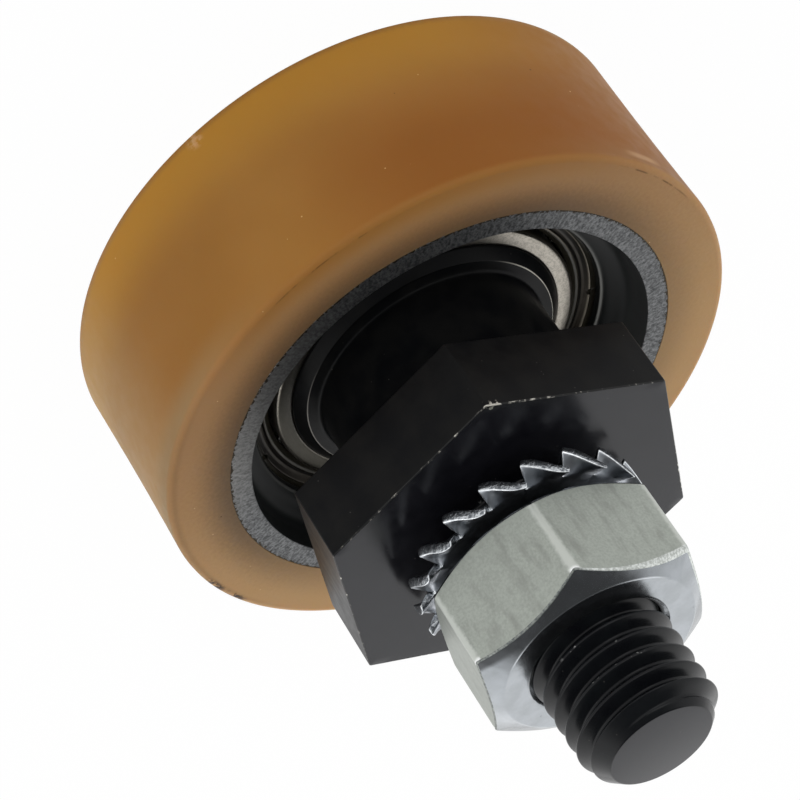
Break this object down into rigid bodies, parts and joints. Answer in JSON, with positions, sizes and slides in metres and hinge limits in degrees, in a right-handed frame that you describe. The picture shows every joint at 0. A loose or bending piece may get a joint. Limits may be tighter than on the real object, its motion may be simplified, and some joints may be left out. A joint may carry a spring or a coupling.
{
  "type": "guide roller",
  "caption": "Guide roller: polyurethane-tyred wheel on a ball bearing, with a hexagon axle whose threaded stud is off centre, held by a fan lock washer and a hex nut.",
  "frame": {"origin": "on the wheel's turning axis, in the plane of the wheel's back face, on which the roller stands", "axes": "+Z along the turning axis towards the threaded stud, +X from the turning axis to the stud's axis"},
  "size_m": [0.052, 0.052, 0.055],
  "materials": {
    "polyurethane": "cast amber polyurethane, slightly translucent, satin",
    "hub_steel": "turned steel, dull on the face, dark in the bore",
    "bearing_steel": "ground bearing steel",
    "bearing_shield": "dark pressed shield",
    "cage_nylon": "natural nylon",
    "ball_steel": "polished balls",
    "black_oxide": "black oxide on steel, worn bright at the edges",
    "spring_steel": "phosphated spring steel",
    "zinc_plate": "zinc plate, satin"
  },
  "bodies": {
    "axle_unit": {"axle": "black_oxide", "bearing_inner_ring": "bearing_steel", "axle_circlip": "spring_steel", "lock_washer": "zinc_plate", "hex_nut": "zinc_plate"},
    "wheel": {"tyre": "polyurethane", "hub": "hub_steel", "bearing_outer_ring": "bearing_steel", "front_shield": "bearing_shield", "rear_shield": "bearing_shield"},
    "ball_set": {"ball_01": "ball_steel", "ball_02": "ball_steel", "ball_03": "ball_steel", "ball_04": "ball_steel", "ball_05": "ball_steel", "ball_06": "ball_steel", "ball_07": "ball_steel", "ball_08": "ball_steel", "ball_09": "ball_steel", "ball_10": "ball_steel", "ball_11": "ball_steel", "ball_12": "ball_steel", "ball_13": "ball_steel", "ball_14": "ball_steel", "ball_15": "ball_steel", "ball_16": "ball_steel", "ball_17": "ball_steel", "bearing_cage": "cage_nylon"}
  },
  "joints": [
    {"name": "wheel_spin", "type": "hinge", "parent": "axle_unit", "child": "wheel", "pos_m": [0, 0, 0.0096], "axis": [0, 0, 1], "continuous": true},
    {"name": "cage_spin", "type": "hinge", "parent": "axle_unit", "child": "ball_set", "pos_m": [0, 0, 0.0096], "axis": [0, 0, 1], "continuous": true}
  ],
  "couplings": [
    {"joint": "cage_spin", "follows": "wheel_spin", "ratio": 0.5565}
  ]
}
